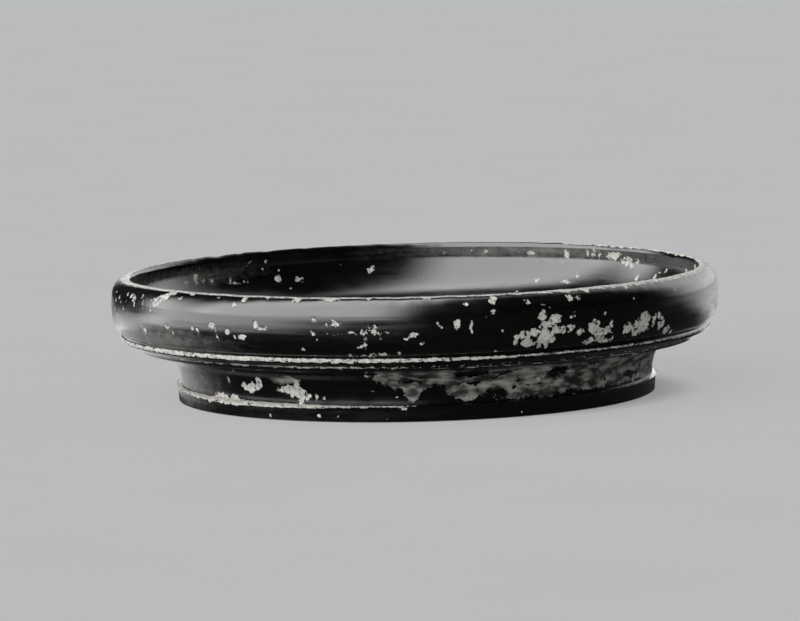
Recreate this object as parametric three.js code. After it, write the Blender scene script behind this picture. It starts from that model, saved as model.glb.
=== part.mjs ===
// A low, thick-walled bowl on a ring foot, thrown in clay and coated with a thin black gloss.
// Millimetres, +Z up. The origin is the centre of the foot's resting face.
// Every piece is turned about the Z axis, so each outline is a list of (radius, height) points.

import * as THREE from "three";

// Whole bowl
const HEIGHT = 30.6;
const BELLY_RADIUS = 75;

// Inside: a level floor that sweeps up into the wall
const FLOOR_TOP = 15.4;
const FLOOR_RADIUS = 50;
const FLOOR_SWEEP = 14;
const INNER_WALL_RADIUS = 70.5;
const INNER_WALL_TOP = 26.6;
const INNER_WALL_LEAN = 1.9;
const INNER_WALL_SWEEP = 7;

// Lip: a narrow crest that rounds over into the wall, with a slight overhang inside
const LIP_INNER_RADIUS = 70.3;
const LIP_CREST_RADIUS = 71;
const LIP_INNER_DROP = 1.1;
const LIP_OUTER_DROP = 4.4;

// Outer wall: upright, barely swollen, then turned in to the groove above the ridge
const BELLY_SWELL = 0.15;
const BELLY_RUN = 4.5;
const UNDERCUT_RADIUS = 72.6;
const UNDERCUT_HEIGHT = 17.2;
const UNDERCUT_SWEEP_OUT = 2.4;
const UNDERCUT_SWEEP_UP = 1.7;

// Raised ridge under the wall
const RIDGE_ROUND = 0.75;
const RIDGE_CENTRE_RADIUS = 72.2;
const RIDGE_HEIGHT = 16.15;
const RIDGE_HALF_ANGLE = THREE.MathUtils.degToRad(62);

// Flange below the ridge, and the underside of the bowl
const FLANGE_EDGE_RADIUS = 69.6;
const FLANGE_EDGE_HEIGHT = 14;
const FLANGE_STEP = 0.6;
const UNDERSIDE_HEIGHT = 12;
const UNDERSIDE_CENTRE_HEIGHT = 11.2;

// Slip joint between bowl and foot
const SLIP_THICKNESS = 0.5;
const SLIP_BEAD = 0.9;
const JOINT_OUTER_RADIUS = 61.6;
const JOINT_INNER_RADIUS = 49.8;

// Ring foot: a flaring neck that is upright below and ends in a corner,
// then a thin ridge and a low base under a groove
const FOOT_TOP = UNDERSIDE_HEIGHT - SLIP_THICKNESS;
const FOOT_TOP_RADIUS = 61.2;
const NECK_RADIUS = 58.4;
const NECK_HEIGHT = 6.3;
const NECK_FLARE = 0.9;
const NECK_FLARE_RISE = 3.2;
const NECK_DROP = 2.1;
const NECK_TUCK = 0.05;
const FOOT_RIDGE_RADIUS = 59.5;
const FOOT_RIDGE_HEIGHT = 3.95;
const FOOT_GROOVE_RADIUS = 59.1;
const FOOT_GROOVE_HEIGHT = 3.3;
const BASE_RADIUS = 59;
const BASE_HEIGHT = 2;
const BASE_TUCK = 0.15;
const RESTING_OUTER_RADIUS = 58.3;
const RESTING_INNER_RADIUS = 53.4;
const FOOT_INNER_RADIUS = 51.2;
const FOOT_INNER_BEVEL = 1.2;

// Gloss coat, which stops short of the resting face
const GLOSS_THICKNESS = 0.05;
const GLOSS_LOWER_EDGE = 0.2;

// How finely round stretches are cut
const SIDES = 48;
const LONG_STEPS = 7;
const NECK_STEPS = 6;
const SHORT_STEPS = 4;
const EDGE_STEPS = 2;

const FIRED_CLAY = { color: 0xb3aca2, roughness: 0.85, metalness: 0 };
const JOINING_SLIP = { color: 0xa69f95, roughness: 0.9, metalness: 0 };
const BLACK_GLOSS = { color: 0x0f0e0d, roughness: 0.25, metalness: 0 };

const at = (radius, height) => new THREE.Vector2(radius, height);

// A smooth stretch through a few points.
const through = (steps, ...points) => new THREE.SplineCurve(points).getPoints(steps);

// A stretch that leaves one end and reaches the other along two pulling points.
const swept = (steps, ...pulls) => new THREE.CubicBezierCurve(...pulls).getPoints(steps);

// A stretch of an ellipse, turning clockwise when it ends at the smaller angle.
function round(steps, centre, across, up, from, to) {
  return new THREE.EllipseCurve(centre.x, centre.y, across, up, from, to, from > to).getPoints(steps);
}

// Stretches laid end to end, with each shared end kept once.
function joined(...stretches) {
  const points = stretches.flat();
  return points.filter((point, i) => i === 0 || point.distanceTo(points[i - 1]) > GLOSS_THICKNESS / 10);
}

// The outlines below run from the middle of the floor, over the lip and down to the foot,
// so the open air is always on their left.

function insideOutline() {
  const sweep = swept(
    LONG_STEPS,
    at(FLOOR_RADIUS, FLOOR_TOP),
    at(FLOOR_RADIUS + FLOOR_SWEEP, FLOOR_TOP),
    at(INNER_WALL_RADIUS - INNER_WALL_LEAN, INNER_WALL_TOP - INNER_WALL_SWEEP),
    at(INNER_WALL_RADIUS, INNER_WALL_TOP),
  );
  return [at(0, FLOOR_TOP), ...sweep, at(LIP_INNER_RADIUS, HEIGHT - LIP_INNER_DROP)];
}

function wallOutline() {
  const lipInside = round(
    EDGE_STEPS,
    at(LIP_CREST_RADIUS, HEIGHT - LIP_INNER_DROP),
    LIP_CREST_RADIUS - LIP_INNER_RADIUS, LIP_INNER_DROP, Math.PI, Math.PI / 2,
  );
  const lipOutside = round(
    SHORT_STEPS,
    at(LIP_CREST_RADIUS, HEIGHT - LIP_OUTER_DROP),
    BELLY_RADIUS - LIP_CREST_RADIUS, LIP_OUTER_DROP, Math.PI / 2, 0,
  );
  const belly = swept(
    LONG_STEPS,
    at(BELLY_RADIUS, HEIGHT - LIP_OUTER_DROP),
    at(BELLY_RADIUS + BELLY_SWELL, HEIGHT - LIP_OUTER_DROP - BELLY_RUN),
    at(UNDERCUT_RADIUS + UNDERCUT_SWEEP_OUT, UNDERCUT_HEIGHT + UNDERCUT_SWEEP_UP),
    at(UNDERCUT_RADIUS, UNDERCUT_HEIGHT),
  );
  const ridge = round(
    SHORT_STEPS,
    at(RIDGE_CENTRE_RADIUS, RIDGE_HEIGHT),
    RIDGE_ROUND, RIDGE_ROUND, RIDGE_HALF_ANGLE, -RIDGE_HALF_ANGLE,
  );
  return joined(lipInside, lipOutside, belly, ridge);
}

// From under the ridge, round the flange's edge to the joint with the foot.
function flangeOutline() {
  const ridgeFoot = at(
    RIDGE_CENTRE_RADIUS + RIDGE_ROUND * Math.cos(RIDGE_HALF_ANGLE),
    RIDGE_HEIGHT - RIDGE_ROUND * Math.sin(RIDGE_HALF_ANGLE),
  );
  return [
    ridgeFoot,
    at(FLANGE_EDGE_RADIUS, FLANGE_EDGE_HEIGHT),
    at(FLANGE_EDGE_RADIUS - FLANGE_STEP, FLANGE_EDGE_HEIGHT - FLANGE_STEP),
    at(JOINT_OUTER_RADIUS, UNDERSIDE_HEIGHT),
  ];
}

// From the top of the foot down its neck and over its ridge to the base's lower edge.
function footOutline() {
  const neck = through(
    NECK_STEPS,
    at(FOOT_TOP_RADIUS, FOOT_TOP),
    at(NECK_RADIUS + NECK_FLARE, NECK_HEIGHT + NECK_FLARE_RISE),
    at(NECK_RADIUS, NECK_HEIGHT),
    at(NECK_RADIUS - NECK_TUCK, NECK_HEIGHT - NECK_DROP),
  );
  const base = through(
    SHORT_STEPS,
    at(FOOT_GROOVE_RADIUS, FOOT_GROOVE_HEIGHT),
    at(BASE_RADIUS, BASE_HEIGHT),
    at(BASE_RADIUS - BASE_TUCK, GLOSS_LOWER_EDGE),
  );
  return [...neck, at(FOOT_RIDGE_RADIUS, FOOT_RIDGE_HEIGHT), ...base];
}

// A solid turned from an outline that goes round its material anticlockwise.
function turned(name, outline, finish) {
  const geometry = new THREE.LatheGeometry(outline, SIDES);
  geometry.rotateX(Math.PI / 2);
  const mesh = new THREE.Mesh(geometry, new THREE.MeshStandardMaterial(finish));
  mesh.name = name;
  return mesh;
}

function bowlBody() {
  const surface = joined(insideOutline(), wallOutline(), flangeOutline());
  const underside = [at(JOINT_INNER_RADIUS, UNDERSIDE_HEIGHT), at(0, UNDERSIDE_CENTRE_HEIGHT)];
  return turned("bowl_body", [...surface, ...underside].reverse(), FIRED_CLAY);
}

function footRing() {
  const outline = [
    ...footOutline(),
    at(RESTING_OUTER_RADIUS, 0),
    at(RESTING_INNER_RADIUS, 0),
    at(FOOT_INNER_RADIUS + FOOT_INNER_BEVEL, FOOT_INNER_BEVEL),
    at(FOOT_INNER_RADIUS, FOOT_TOP - SLIP_BEAD),
    at(FOOT_INNER_RADIUS, FOOT_TOP),
  ];
  return turned("foot_ring", [...outline, outline[0]].reverse(), FIRED_CLAY);
}

// A flat ring of slip between foot and bowl, with a hollow bead in the inner corner.
function lutingSlip() {
  const outline = [
    at(JOINT_OUTER_RADIUS, UNDERSIDE_HEIGHT),
    at(FOOT_TOP_RADIUS, FOOT_TOP),
    at(FOOT_INNER_RADIUS, FOOT_TOP),
    at(FOOT_INNER_RADIUS, FOOT_TOP - SLIP_BEAD),
    at(FOOT_INNER_RADIUS - SLIP_BEAD / 2, FOOT_TOP - SLIP_BEAD / 4),
    at(JOINT_INNER_RADIUS, UNDERSIDE_HEIGHT),
  ];
  return turned("luting_slip", [...outline, outline[0]].reverse(), JOINING_SLIP);
}

// Which way the open air lies from a stretch of an outline.
function outwards(from, to) {
  const along = to.clone().sub(from).normalize();
  return at(-along.y, along.x);
}

// A skin of gloss over an outline: its points, then the same points moved out by the coat's thickness.
function glossCoat(name, outline) {
  const last = outline.length - 1;
  const outer = outline.map((point, i) => {
    const before = outwards(outline[Math.max(i - 1, 0)], outline[Math.max(i, 1)]);
    const after = outwards(outline[Math.min(i, last - 1)], outline[Math.min(i + 1, last)]);
    const mitre = before.clone().add(after).divideScalar(1 + before.dot(after));
    return point.clone().addScaledVector(mitre, GLOSS_THICKNESS);
  });
  const skin = [...outline, ...outer.reverse()];
  const startsOnAxis = outline[0].x === 0;
  return turned(name, startsOnAxis ? skin : [...skin, skin[0]], BLACK_GLOSS);
}

const bowl = new THREE.Group();
bowl.add(
  bowlBody(),
  footRing(),
  lutingSlip(),
  glossCoat("gloss_inside", insideOutline()),
  glossCoat("gloss_wall", wallOutline()),
  glossCoat("gloss_foot", [...flangeOutline(), ...footOutline()]),
);

export default bowl;
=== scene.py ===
"""A low black-gloss bowl on a ring foot: its clay, its worn gloss coat, and a small studio.

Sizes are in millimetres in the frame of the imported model, whose origin is the centre of the
resting face. Turns are in degrees about the bowl's axis, counted from the side that faces the
camera and positive towards the right.
"""

import logging
import math
from dataclasses import dataclass
from enum import Enum
from typing import Any, Sequence

import bmesh
import bpy
import numpy as np
from mathutils import Matrix, Vector


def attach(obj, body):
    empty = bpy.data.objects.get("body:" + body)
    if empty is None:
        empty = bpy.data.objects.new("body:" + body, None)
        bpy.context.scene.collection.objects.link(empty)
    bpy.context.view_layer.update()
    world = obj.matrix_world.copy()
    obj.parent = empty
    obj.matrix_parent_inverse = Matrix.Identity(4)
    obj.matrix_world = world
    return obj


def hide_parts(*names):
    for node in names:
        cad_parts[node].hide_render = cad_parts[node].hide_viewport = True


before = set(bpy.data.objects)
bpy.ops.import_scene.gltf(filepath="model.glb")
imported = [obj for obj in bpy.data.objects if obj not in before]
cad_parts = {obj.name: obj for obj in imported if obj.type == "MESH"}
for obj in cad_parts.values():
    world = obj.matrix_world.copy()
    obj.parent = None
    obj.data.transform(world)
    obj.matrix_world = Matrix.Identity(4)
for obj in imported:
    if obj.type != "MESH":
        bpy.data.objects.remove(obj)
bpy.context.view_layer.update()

log = logging.getLogger("bowl")

MM = 0.001
BODY = "root"
Point = tuple[float, float]
Colour = tuple[float, float, float, float]
Piece = bpy.types.Object
Finish = bpy.types.Material
Socket = bpy.types.NodeSocket


class Slot(Enum):
    """The record's material slots."""

    FIRED_CLAY = "fired_clay"
    JOINING_SLIP = "joining_slip"
    BLACK_GLOSS = "black_gloss"


class Trace(Enum):
    """What a turned piece's points carry for its finish, in millimetres."""

    ALONG = "along"
    LOSS = "loss"
    RUBBED = "rubbed"
    # How deep a point lies in the grey haze, which is partly dulled gloss and partly painted sheen
    HAZE_AND_PAINTED_SHEEN = "haze_and_painted_sheen"


def smooth(value: np.ndarray, low: float, high: float) -> np.ndarray:
    """Rises from 0 at low to 1 at high without a corner."""
    t = np.clip((value - low) / (high - low), 0, 1)
    return t * t * (3 - 2 * t)


# Outlines


def swept(*pulls: Point | np.ndarray, steps: int = 60) -> np.ndarray:
    """Draws a sweep that leaves the first point and reaches the last along two pulling points.

    Args:
        pulls: The start, the two pulling points and the end.
        steps: How finely it is cut.

    Returns:
        Points on the sweep.
    """
    a, b, c, d = (np.array(pull) for pull in pulls)
    t = np.linspace(0, 1, steps + 1)[:, None]
    return (1 - t) ** 3 * a + 3 * (1 - t) ** 2 * t * b + 3 * (1 - t) * t**2 * c + t**3 * d


def rounded(centre: Point, across: float, up: float, start: float, end: float, steps: int = 40) -> np.ndarray:
    """Draws a stretch of an ellipse, given by its centre, half its width and height, and two angles."""
    angle = np.linspace(start, end, steps + 1)
    return np.column_stack((centre[0] + across * np.cos(angle), centre[1] + up * np.sin(angle)))


def through(*points: Point | np.ndarray, steps: int = 24) -> np.ndarray:
    """Draws a smooth stretch through a few points.

    Args:
        points: The points.
        steps: How finely each span is cut.

    Returns:
        Points on the stretch.
    """
    knots = np.array([points[0], *points, points[-1]])
    t = np.linspace(0, 1, steps + 1)[:, None]
    spans = []
    for before, start, end, after in zip(knots, knots[1:], knots[2:], knots[3:]):
        leave, reach = (end - before) / 2, (after - start) / 2
        cubic = 2 * start - 2 * end + leave + reach
        square = 3 * end - 3 * start - 2 * leave - reach
        spans.append(cubic * t**3 + square * t**2 + leave * t + start)
    return np.vstack(spans)


class Outline:
    """A line of (radius, height) points with the open air on its left."""

    SAME_POINT = 1e-4
    CORNER = math.radians(30)

    def __init__(self, *stretches: Any) -> None:
        """Lays stretches end to end, with each shared end kept once.

        Args:
            stretches: Single points or lines of points.
        """
        points = np.vstack([np.atleast_2d(np.array(stretch, float)) for stretch in stretches])
        gaps = np.linalg.norm(np.diff(points, axis=0), axis=1)
        self.points = points[np.concatenate(([True], gaps > self.SAME_POINT))]

    @property
    def along(self) -> np.ndarray:
        """How far each point lies from the start."""
        gaps = np.linalg.norm(np.diff(self.points, axis=0), axis=1)
        return np.concatenate(([0.0], np.cumsum(gaps)))

    def evenly(self, step: float) -> "Outline":
        """Cuts the line into even steps from corner to corner.

        Args:
            step: About how long a step is.

        Returns:
            The evenly cut line.
        """
        along = self.along
        ways = np.diff(self.points, axis=0)
        ways /= np.linalg.norm(ways, axis=1)[:, None]
        corners = along[1:-1][np.sum(ways[1:] * ways[:-1], axis=1) < math.cos(self.CORNER)]
        knots = [0.0, *corners, along[-1]]
        cuts = [np.linspace(a, b, max(1, round((b - a) / step)) + 1) for a, b in zip(knots, knots[1:])]
        stops = np.unique(np.concatenate(cuts))
        return Outline(np.column_stack([np.interp(stops, along, side) for side in self.points.T]))

    def moved(self, gap: float) -> "Outline":
        """Moves the line out into the air, or in when the gap is negative.

        Args:
            gap: How far.

        Returns:
            The moved line.
        """
        steps = np.gradient(self.points, axis=0)
        steps /= np.linalg.norm(steps, axis=1)[:, None]
        return Outline(self.points + gap * np.column_stack((-steps[:, 1], steps[:, 0])))

    def thinned(self, slack: float, longest: float) -> "Outline":
        """Drops the points that the line can do without.

        Args:
            slack: How far the line may stray from a dropped point.
            longest: The longest step that is left.

        Returns:
            The thinned line.
        """
        along, last, kept = self.along, len(self.points) - 1, [0]
        for end in range(1, last):
            start = kept[-1]
            span = self.points[end + 1] - self.points[start]
            away = self.points[start : end + 1] - self.points[start]
            strays = np.abs(span[0] * away[:, 1] - span[1] * away[:, 0]).max() / np.hypot(*span)
            if along[end + 1] - along[start] >= longest or strays >= slack:
                kept.append(end)
        return Outline(self.points[[*kept, last]])

    def along_at(self, height: float) -> float:
        """Finds how far along its falling stretch, or its rising one if it has no other, a height lies.

        Args:
            height: The height.

        Returns:
            The distance from the start.
        """
        heights, along = self.points[:, 1], self.along
        top = int(np.argmax(heights))
        if top < len(heights) - 1:
            return float(np.interp(-height, -heights[top:], along[top:]))
        return float(np.interp(height, heights, along))


# Turning


def into_scene(name: str, bm: bmesh.types.BMesh) -> Piece:
    """Makes an object of a finished shape.

    Args:
        name: The object's name.
        bm: The shape, which is freed.

    Returns:
        The object, linked to the scene.
    """
    mesh = bpy.data.meshes.new(name)
    bm.to_mesh(mesh)
    bm.free()
    made = bpy.data.objects.new(name, mesh)
    bpy.context.scene.collection.objects.link(made)
    return made


@dataclass(frozen=True)
class Lathe:
    """Turns outlines about the bowl's axis, one sector first and then the full round."""

    sides: int
    sectors: int = 20
    weld: float = 0.001

    def turn(self, name: str, points: np.ndarray, along: np.ndarray, closed: bool) -> Piece:
        """Turns a line of points into a piece.

        Args:
            name: The piece's name.
            points: Radius and height of each point.
            along: What each point carries as its distance along the outline.
            closed: Whether the last point joins the first.

        Returns:
            The piece, smooth, with its faces pointing outwards.
        """
        bm = bmesh.new()
        layer = bm.verts.layers.float.new(Trace.ALONG.value)
        ring = []
        for (radius, height), distance in zip(points, along):
            vert = bm.verts.new((radius * MM, 0, height * MM))
            vert[layer] = distance
            ring.append(vert)
        pairs = list(zip(ring, ring[1:])) + ([(ring[-1], ring[0])] if closed else [])
        edges = [bm.edges.new(pair) for pair in pairs]
        sector = math.tau / self.sectors
        spin = {"cent": (0, 0, 0), "axis": (0, 0, 1)}
        bmesh.ops.spin(bm, geom=ring + edges, angle=sector, steps=self.sides // self.sectors, **spin)
        whole = bm.verts[:] + bm.edges[:] + bm.faces[:]
        rest = math.tau - sector
        bmesh.ops.spin(bm, geom=whole, angle=rest, steps=self.sectors - 1, use_duplicate=True, **spin)
        bmesh.ops.remove_doubles(bm, verts=bm.verts, dist=self.weld * MM)
        bmesh.ops.recalc_face_normals(bm, faces=bm.faces)
        piece = into_scene(name, bm)
        piece.data.shade_smooth()
        return piece


# The hand-made shape


@dataclass(frozen=True)
class Ripples:
    """A seeded, smooth and irregular field in space."""

    seed: int
    longest: float
    shortest: float
    waves: int = 28

    def at(self, place: np.ndarray) -> np.ndarray:
        """Reads the field.

        Args:
            place: Points in millimetres.

        Returns:
            A number for each point, mostly between -1 and 1.
        """
        rng = np.random.default_rng(self.seed)
        ways = rng.normal(size=(self.waves, 3))
        ways /= np.linalg.norm(ways, axis=1)[:, None]
        phases = rng.uniform(0, math.tau, self.waves)
        lengths = np.geomspace(self.longest, self.shortest, self.waves)
        total = np.zeros(len(place))
        for way, phase, length in zip(ways, phases, lengths):
            total += np.sin(place @ way * math.tau / length + phase)
        return total / math.sqrt(self.waves)


@dataclass(frozen=True)
class Nick:
    """A small dent in the lip."""

    turn: float
    wide: float
    deep: float


@dataclass(frozen=True)
class Potting:
    """How far the hand-made bowl strays from a true turned shape."""

    height: float = 30.6
    belly_radius: float = 75.0
    oval: float = 0.1
    oval_phase: float = 0.7
    lip_wave: float = 0.08
    lip_wave_phases: Point = (2.1, 0.4)
    lip_ripple: float = 0.05
    lip_depth: float = 3.0
    front_rise: float = 0.6
    front_reach: Point = (-0.1, 0.8)
    ripple: Ripples = Ripples(3, 16, 3, 16)
    nicks: tuple[Nick, ...] = (
        Nick(-135, 5, 0.28), Nick(-141, 2.5, 0.14), Nick(-148, 4, 0.16), Nick(-157, 3, 0.1),
        Nick(-128, 3, 0.12), Nick(112, 3, 0.2), Nick(96, 2, 0.15), Nick(-97, 3, 0.12),
    )

    def bend(self, place: np.ndarray) -> np.ndarray:
        """Bends true turned points as the potter's hand and later knocks did.

        Args:
            place: Points in millimetres.

        Returns:
            The bent points; the resting face stays level.
        """
        turn = np.arctan2(place[:, 0], -place[:, 1])
        lift = np.clip(place[:, 2] / self.height, 0, 1)
        lip = smooth(place[:, 2], self.height - self.lip_depth, self.height)
        bent = place.copy()
        oval = self.oval / self.belly_radius * lift * np.cos(2 * turn + self.oval_phase)
        bent[:, :2] *= (1 + oval)[:, None]
        twofold, threefold = self.lip_wave_phases
        wave = np.cos(2 * turn + twofold) + np.cos(3 * turn + threefold) / 2
        bent[:, 2] += self.lip_wave * lift**2 * wave
        bent[:, 2] += self.front_rise * lift**2 * smooth(np.cos(turn), *self.front_reach)
        rim = np.column_stack((np.sin(turn), -np.cos(turn), np.zeros(len(turn)))) * self.belly_radius
        bent[:, 2] += self.lip_ripple * lip * self.ripple.at(rim)
        for nick in self.nicks:
            away = np.angle(np.exp(1j * (turn - math.radians(nick.turn)))) * self.belly_radius
            bent[:, 2] -= nick.deep * lip * np.exp(-((away / nick.wide * 2) ** 2))
        return bent


POTTING = Potting()


class Skin:
    """The points of a turned piece and where each of them lies."""

    BACK = -1.0

    def __init__(self, piece: Piece) -> None:
        """Reads a piece's points.

        Args:
            piece: The piece.
        """
        self.mesh = piece.data
        count = len(self.mesh.vertices)
        flat = np.empty(count * 3, np.float32)
        self.mesh.vertices.foreach_get("co", flat)
        self.place = flat.reshape(count, 3).astype(float) / MM
        self.mesh.vertex_normals.foreach_get("vector", flat)
        self.out = flat.reshape(count, 3).astype(float)
        self.along = np.empty(count, np.float32)
        self.mesh.attributes[Trace.ALONG.value].data.foreach_get("value", self.along)
        self.turn = np.degrees(np.arctan2(self.place[:, 0], -self.place[:, 1]))
        self.radius = np.hypot(self.place[:, 0], self.place[:, 1])

    def push(self, distance: np.ndarray) -> None:
        """Moves each point that isn't on the back out along its normal, by its own distance."""
        self.place += self.out * np.where(self.along > self.BACK, distance, 0)[:, None]

    def carry(self, trace: Trace, values: np.ndarray) -> None:
        """Stores a number for each point, for the finish to read."""
        layer = self.mesh.attributes.new(trace.value, "FLOAT", "POINT")
        layer.data.foreach_set("value", values.astype(np.float32))

    def settle(self, sharp: float = 35) -> None:
        """Bends the points as the potter's hand did and writes them back.

        Args:
            sharp: The angle, in degrees, past which an edge stays crisp.
        """
        bent = POTTING.bend(self.place) * MM
        self.mesh.vertices.foreach_set("co", bent.astype(np.float32).ravel())
        self.mesh.update()
        self.mesh.set_sharp_from_angle(angle=math.radians(sharp))


# Wear


@dataclass(frozen=True)
class Flake:
    """A spot where the gloss is gone; slant is how steeply its width rises to the right."""

    turn: float
    height: float
    wide: float
    tall: float
    slant: float = 0.0


def flaked(*rows: tuple[float, ...]) -> tuple[Flake, ...]:
    """Makes flakes from rows of turn, height, width, tallness and, where there is one, slant."""
    return tuple(Flake(*row) for row in rows)


@dataclass(frozen=True)
class WornLine:
    """An edge worn through all the way round, with its width and its evenness at some turns."""

    height: float
    widths: tuple[Point, ...]
    evenness: tuple[Point, ...] = ((0, 1.0),)


@dataclass(frozen=True)
class Patch:
    """A stretch of surface inside corners given as (turn, height)."""

    corners: tuple[Point, ...]


@dataclass(frozen=True)
class Scatter:
    """Seeded groups of flakes, for places where the wear's exact spots aren't known."""

    seed: int
    groups: int
    turns: Point
    heights: Point
    sizes: Point
    spread: float = 4.0
    most: int = 8
    upright_spread: float = 0.25
    smallness: int = 3
    stretch: Point = (1.0, 1.8)
    slants: Point = (-30.0, 30.0)

    def flakes(self, radius: float) -> list[Flake]:
        """Draws the flakes.

        Args:
            radius: The radius that the spread is measured at.

        Returns:
            The flakes.
        """
        rng = np.random.default_rng(self.seed)
        drawn = []
        for _ in range(self.groups):
            turn, height = rng.uniform(*self.turns), rng.uniform(*self.heights)
            for _ in range(int(rng.integers(1, self.most + 1))):
                size = self.sizes[0] + (self.sizes[1] - self.sizes[0]) * rng.random() ** self.smallness
                aside = math.degrees(rng.normal(0, self.spread) / radius)
                above = height + rng.normal(0, self.spread * self.upright_spread)
                wide = size * rng.uniform(*self.stretch)
                slant = rng.uniform(*self.slants)
                drawn.append(Flake(turn + aside, np.clip(above, *self.heights), wide, size, slant))
        return drawn


class WearMap:
    """Measures how far points lie inside worn places, in millimetres along the surface."""

    FAR = -4.0
    WARP = 0.26
    WARP_ACROSS = Ripples(11, 3.4, 0.7)
    WARP_DOWN = Ripples(12, 3.4, 0.7)

    def __init__(self, outline: Outline, skin: Skin) -> None:
        """Lays the points out flat, a little shaken so that edges come out ragged.

        Args:
            outline: The outline that the skin was turned from.
            skin: The skin.
        """
        self.outline = outline
        self.turn = skin.turn
        self.radius = np.maximum(skin.radius, 1)
        self.aside = self.WARP * self.WARP_ACROSS.at(skin.place)
        self.skin_along = skin.along
        self.shake = self.WARP * self.WARP_DOWN.at(skin.place)
        self.down = skin.along + self.shake

    def across(self, turn: float) -> np.ndarray:
        """How far each point lies to the right of a turn."""
        return np.radians((self.turn - turn + 180) % 360 - 180) * self.radius + self.aside

    def flakes(self, flakes: Sequence[Flake]) -> np.ndarray:
        """Measures how deep each point lies inside the nearest flake.

        Args:
            flakes: The flakes.

        Returns:
            The depths, which are negative outside.
        """
        depth = np.full(len(self.turn), self.FAR)
        for flake in flakes:
            right = self.across(flake.turn)
            down = self.down - self.outline.along_at(flake.height)
            lean = math.radians(flake.slant)
            far = np.hypot(
                (right * math.cos(lean) - down * math.sin(lean)) / flake.wide,
                (right * math.sin(lean) + down * math.cos(lean)) / flake.tall,
            )
            depth = np.maximum(depth, (0.5 - far) * min(flake.wide, flake.tall))
        return depth

    def line(self, worn: WornLine) -> np.ndarray:
        """Measures how deep each point lies inside a worn line.

        Args:
            worn: The line.

        Returns:
            The depths, which are negative outside.
        """
        width = np.interp(self.turn, *zip(*worn.widths), period=360)
        even = np.interp(self.turn, *zip(*worn.evenness), period=360)
        off = self.skin_along + self.shake / even - self.outline.along_at(worn.height)
        return even * (width / 2 - np.abs(off))

    def patch(self, patch: Patch) -> np.ndarray:
        """Measures how deep each point lies inside a patch.

        Args:
            patch: The patch.

        Returns:
            The depths, which are negative outside.
        """
        middle = sum(turn for turn, _ in patch.corners) / len(patch.corners)
        points = np.column_stack((self.across(middle), self.down))
        size = float(np.median(self.radius))
        corners = np.array(
            [(math.radians(turn - middle) * size, self.outline.along_at(h)) for turn, h in patch.corners]
        )
        inside = np.zeros(len(points), bool)
        nearest = np.full(len(points), -self.FAR)
        for start, end in zip(corners, np.roll(corners, -1, axis=0)):
            span = end - start
            t = np.clip((points - start) @ span / (span @ span), 0, 1)
            nearest = np.minimum(nearest, np.linalg.norm(points - start - t[:, None] * span, axis=1))
            crosses = (start[1] > points[:, 1]) != (end[1] > points[:, 1])
            rise = span[1] if span[1] else 1.0
            inside ^= crosses & (points[:, 0] < start[0] + (points[:, 1] - start[1]) * span[0] / rise)
        return np.where(inside, nearest, -nearest)


@dataclass(frozen=True)
class Wear:
    """All the wear on one gloss skin; its grey haze is partly painted sheen."""

    flakes: tuple[Flake, ...] = ()
    scatters: tuple[Scatter, ...] = ()
    lines: tuple[WornLine, ...] = ()
    rubbed: tuple[Patch | WornLine, ...] = ()
    kept: tuple[Flake, ...] = ()
    # Grey haze: partly dulled gloss, partly painted sheen
    haze_and_painted_sheen: tuple[Flake, ...] = ()
    pit: float = 0.06
    pit_edge: float = 0.3

    def mark(self, outline: Outline, skin: Skin) -> None:
        """Sinks the flakes into a skin and stores what its finish needs.

        Args:
            outline: The outline that the skin was turned from.
            skin: The skin.
        """
        plan = WearMap(outline, skin)
        radius = float(np.median(skin.radius))
        flakes = [*self.flakes, *(f for scatter in self.scatters for f in scatter.flakes(radius))]
        loss = plan.flakes(flakes)
        for line in self.lines:
            loss = np.maximum(loss, plan.line(line))
        rubbed = np.full(len(loss), plan.FAR)
        for worn in self.rubbed:
            depth = plan.patch(worn) if isinstance(worn, Patch) else plan.line(worn)
            rubbed = np.maximum(rubbed, depth)
        if self.kept:
            rubbed = np.minimum(rubbed, -plan.flakes(self.kept))
        skin.push(-self.pit * smooth(loss, 0, self.pit_edge))
        skin.carry(Trace.LOSS, loss)
        skin.carry(Trace.RUBBED, rubbed)
        skin.carry(Trace.HAZE_AND_PAINTED_SHEEN, plan.flakes(self.haze_and_painted_sheen))


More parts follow.
